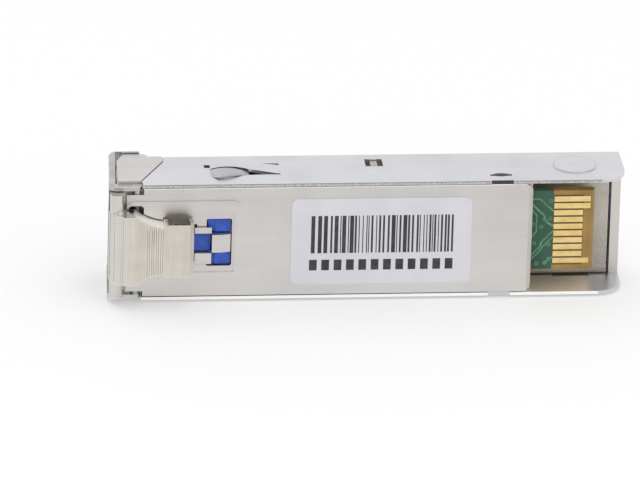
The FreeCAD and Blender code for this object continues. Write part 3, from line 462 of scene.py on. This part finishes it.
# coated paper with faint fibres
def labelFinish(name, look):
    material, shader, coords = startFinish(name)
    cloud = grain(coords, look["cloudScale"], look["cloudDetail"])
    fibre = grain(coords, look["fibreScale"], look["fibreDetail"], look["fibreStretch"], look["fibreBreak"])
    tone = cloud.ramp(*look["cloudRange"]) * look["cloudShare"] + fibre * look["fibreShare"]
    colour = blendColour(tone, look["dark"], look["light"])
    rough = look["rough"] + fibre * look["roughFibre"]
    normal = bumped(fibre, look["depth"])
    feed(shader, colour=colour, rough=rough, metal=0.0, coat=look["coat"], normal=normal)
    return material


finishes = {
    "nickel_casting": platedMetal("nickelCasting", baseLook, paintedLowLight),
    "bare_casting": platedMetal("bareCasting", carrierLook),
    "nickel_sheet": platedMetal("nickelSheet", coverLook, coverMarks),
    "bail_metal": platedMetal("bailMetal", bailLook, paintedLowLight),
    "steel_pin": platedMetal("steelPin", pinLook),
    "lever_metal": platedMetal("leverMetal", leverLook, leverMarks),
    "blue_plastic": mouldedPlastic("bluePlastic", rockerLook),
    "circuit_card": cardFinish("circuitCard", cardLook),
    "gold_contact": platedMetal("goldContact", goldLook),
    "optical_barrel": platedMetal("opticalBarrel", barrelLook),
    "white_ceramic": mouldedPlastic("whiteCeramic", ceramicLook),
    "can_metal": platedMetal("canMetal", canLook),
    "amber_film": mouldedPlastic("amberFilm", filmLook),
    "black_plastic": mouldedPlastic("blackPlastic", clampLook),
    "chip_black": mouldedPlastic("chipBlack", chipLook),
    "capacitor_tan": mouldedPlastic("capacitorTan", capacitorLook),
    "grey_pad": mouldedPlastic("greyPad", padLook),
    "label_paper": labelFinish("labelPaper", labelLook),
}
ownFinishes = {"bail_cam_rod": platedMetal("camRod", rodLook, rodShade)}
for part in frame["record"]["subparts"]:
    cad = nodes[part["node"]]
    cad.data.materials.clear()
    cad.data.materials.append(ownFinishes.get(part["node"], finishes[part["material_slot"]]))
print("finishes set on", len(nodes), "pieces")


def clearPick():
    bpy.ops.object.select_all(action="DESELECT")


def joinPieces(pieces, name, body, material):
    clearPick()
    for piece in pieces:
        piece.select_set(True)
    bpy.context.view_layer.objects.active = pieces[0]
    bpy.ops.object.join()
    piece = bpy.context.object
    bpy.ops.object.transform_apply(location=True, rotation=True, scale=True)
    piece.name = name
    piece.data.name = name
    piece.data.materials.clear()
    piece.data.materials.append(material)
    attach(piece, body)


# bars and a row of blocks printed on the label, in mm on the module's own axes
printLook = {
    "face": -0.08, "raised": 0.008, "soft": 0.003, "softSteps": 2, "seed": 11,
    "left": 22.25, "right": 37.75, "low": -1.42, "high": 2.93,
    "thinBar": 0.105, "steps": (1, 1, 1, 2, 2, 2, 2, 4, 4), "gapSteps": (1, 2, 2, 2, 3),
    "rowLeft": 22.1, "rowRight": 37.7, "rowLow": -3.42, "rowHigh": -2.18, "rowBlocks": 12, "rowGap": 0.5,
}


def printedBar(x0, x1, z0, z1, look):
    clearPick()
    middle = place((x0 + x1) / 2, look["face"] - look["raised"] / 2, (z0 + z1) / 2)
    bpy.ops.mesh.primitive_cube_add(size=1, location=middle)
    bar = bpy.context.object
    bar.scale = ((x1 - x0) * mm, look["raised"] * mm, (z1 - z0) * mm)
    bpy.ops.object.transform_apply(location=False, rotation=False, scale=True)
    bpy.ops.object.mode_set(mode="EDIT")
    bpy.ops.mesh.select_all(action="SELECT")
    bpy.ops.mesh.bevel(offset=look["soft"] * mm, segments=look["softSteps"])    # ink edge runs out softly
    bpy.ops.object.mode_set(mode="OBJECT")
    return bar


def labelPrint(look):
    chance = random.Random(look["seed"])
    bars = []
    x = look["left"]
    while x < look["right"]:
        width = look["thinBar"] * chance.choice(look["steps"])
        if x + width > look["right"]:
            break
        bars.append(printedBar(x, x + width, look["low"], look["high"], look))
        x += width + look["thinBar"] * chance.choice(look["gapSteps"])
    span = (look["rowRight"] - look["rowLeft"] - look["rowGap"] * (look["rowBlocks"] - 1)) / look["rowBlocks"]
    for i in range(look["rowBlocks"]):
        start = look["rowLeft"] + i * (span + look["rowGap"])
        bars.append(printedBar(start, start + span, look["rowLow"], look["rowHigh"], look))
    ink = mouldedPlastic("labelInk", inkLook)
    joinPieces(bars, "label_print", "housing", ink)


labelPrint(printLook)
print("label print made")


# copper runs and via rings under the mask, on the face of the card that shows
runLook = {
    "face": 2.25, "flat": 0.3, "roundSteps": 2, "smoothAngle": 40,
    "runs": (                                  # half width, then the points of the run
        (0.085, (45.9, 3.62), (47.34, 3.61), (48.9, 2.10)),
        (0.135, (45.9, 3.55), (47.9, 1.58), (47.86, 1.22), (48.25, 0.80), (48.9, 0.40)),
        (0.095, (46.1, 2.75), (47.01, 1.73), (47.02, -0.16), (46.2, -1.25)),
        (0.105, (48.9, -0.08), (47.62, -1.42), (47.51, -1.88), (46.0, -3.50)),
        (0.085, (48.9, -0.76), (47.74, -1.99), (47.43, -2.5), (46.0, -3.95)),
        (0.085, (48.9, -3.2), (48.42, -3.46), (48.05, -3.88))),
    "rings": ((48.5, 3.42), (48.47, 1.31), (47.88, 1.24), (46.83, -1.57), (48.38, -1.73), (48.04, -3.86),
              (48.45, -3.44), (46.67, 0.65), (47.55, 0.35), (47.15, -3.95)),
    "ringRadius": 0.17, "ringSteps": 24, "tubeRadius": 0.055, "tubeSteps": 8,
}


def copperRun(half, points, look):
    clearPick()
    bpy.ops.curve.primitive_nurbs_path_add(location=(0, 0, 0))
    run = bpy.context.object
    run.data.splines.clear()
    spline = run.data.splines.new("POLY")
    spline.points.add(len(points) - 1)
    for point, (x, z) in zip(spline.points, points):
        point.co = (*place(x, look["face"], z), 1)
    run.data.bevel_depth = half * mm
    run.data.bevel_resolution = look["roundSteps"]
    run.data.use_fill_caps = True
    bpy.ops.object.convert(target="MESH")
    return bpy.context.object


def viaRings(look):
    clearPick()
    spots = [place(x, look["face"], z) for x, z in look["rings"]]
    bpy.ops.mesh.primitive_torus_add(
        location=spots[0], rotation=(math.pi / 2, 0, 0),
        major_radius=look["ringRadius"] * mm, major_segments=look["ringSteps"],
        minor_radius=look["tubeRadius"] * mm, minor_segments=look["tubeSteps"])
    rings = [bpy.context.object]
    for spot in spots[1:]:
        bpy.ops.object.duplicate()
        bpy.context.object.location = spot
        rings.append(bpy.context.object)
    return rings


def cardRuns(look):
    pieces = [copperRun(half, points, look) for half, *points in look["runs"]]
    pieces += viaRings(look)
    green = mouldedPlastic("maskedCopper", traceLook)
    joinPieces(pieces, "card_runs", "housing", green)
    bpy.ops.object.mode_set(mode="EDIT")
    bpy.ops.mesh.select_all(action="SELECT")
    bpy.ops.transform.resize(value=(1, look["flat"], 1), center_override=place(0, look["face"], 0))
    bpy.ops.object.mode_set(mode="OBJECT")
    bpy.ops.object.shade_smooth_by_angle(angle=math.radians(look["smoothAngle"]))


cardRuns(runLook)
print("card runs made")


# floor and even white light all round
stageLook = {"size": 6.0, "floor": (0.5, 0.5, 0.5, 1), "rough": 0.9, "glow": 0.36, "world": 1.0,
             "white": (1, 1, 1, 1)}


def studio(look):
    clearPick()
    bpy.ops.mesh.primitive_plane_add(size=look["size"], location=(0, 0, 0))
    floor = bpy.context.object
    floor.name = "studio_floor"
    material, shader = startFinish("studioFloor")[:2]
    feed(shader, colour=look["floor"], rough=look["rough"])
    shader.inputs["Emission Color"].default_value = look["white"]     # light table under the part
    shader.inputs["Emission Strength"].default_value = look["glow"]
    floor.data.materials.append(material)
    world = bpy.data.worlds.new("studioWorld")
    world.use_nodes = True
    sky = world.node_tree.nodes["Background"]
    sky.inputs["Color"].default_value = look["white"]
    sky.inputs["Strength"].default_value = look["world"]
    bpy.context.scene.world = world
    bpy.context.scene.view_settings.view_transform = "Standard"       # whites stay white


lampLook = {
    "aim": (0, 0, 0.007),
    "lamps": {
        "keyLamp": {"spot": (-0.2, 0.25, 0.6), "size": 1.0, "power": 0.7},
        "frontLamp": {"spot": (0.0, -0.3, 0.6), "size": 0.5, "power": 0.9},
        "fillLamp": {"spot": (0.45, -0.45, 0.35), "size": 0.4, "power": 0.25},
    },
}


def lamps(look):
    for name, values in look["lamps"].items():
        clearPick()
        bpy.ops.object.light_add(type="AREA", location=values["spot"])
        lamp = bpy.context.object
        lamp.name = name
        lamp.data.size = values["size"]
        lamp.data.energy = values["power"]
        ray = Vector(look["aim"]) - Vector(values["spot"])
        lamp.rotation_euler = ray.to_track_quat("-Z", "Y").to_euler()


viewLook = {"azimuth": -6.2257, "elevation": 22.6181, "roll": 1.6384, "distance": 1.0007, "lens": 521.6,
            "sensor": 36.0, "aim": (23.2327, 0.0, 0.0991)}


def photoCamera(look):
    turn, lift, roll = (math.radians(look[key]) for key in ("azimuth", "elevation", "roll"))
    back = Vector((math.sin(turn) * math.cos(lift), -math.cos(turn) * math.cos(lift), math.sin(lift)))
    right = Vector((math.cos(turn), math.sin(turn), 0))
    up = back.cross(right)
    side = right * math.cos(roll) + up * math.sin(roll)
    top = up * math.cos(roll) - right * math.sin(roll)
    spot = place(*look["aim"]) + back * look["distance"]
    clearPick()
    bpy.ops.object.camera_add()
    camera = bpy.context.object
    camera.data.lens = look["lens"]
    camera.data.sensor_width = look["sensor"]
    camera.data.sensor_fit = "HORIZONTAL"
    camera.matrix_world = Matrix.Translation(spot) @ Matrix((side, top, back)).transposed().to_4x4()
    bpy.context.scene.camera = camera


studio(stageLook)
lamps(lampLook)
photoCamera(viewLook)
print("studio set")
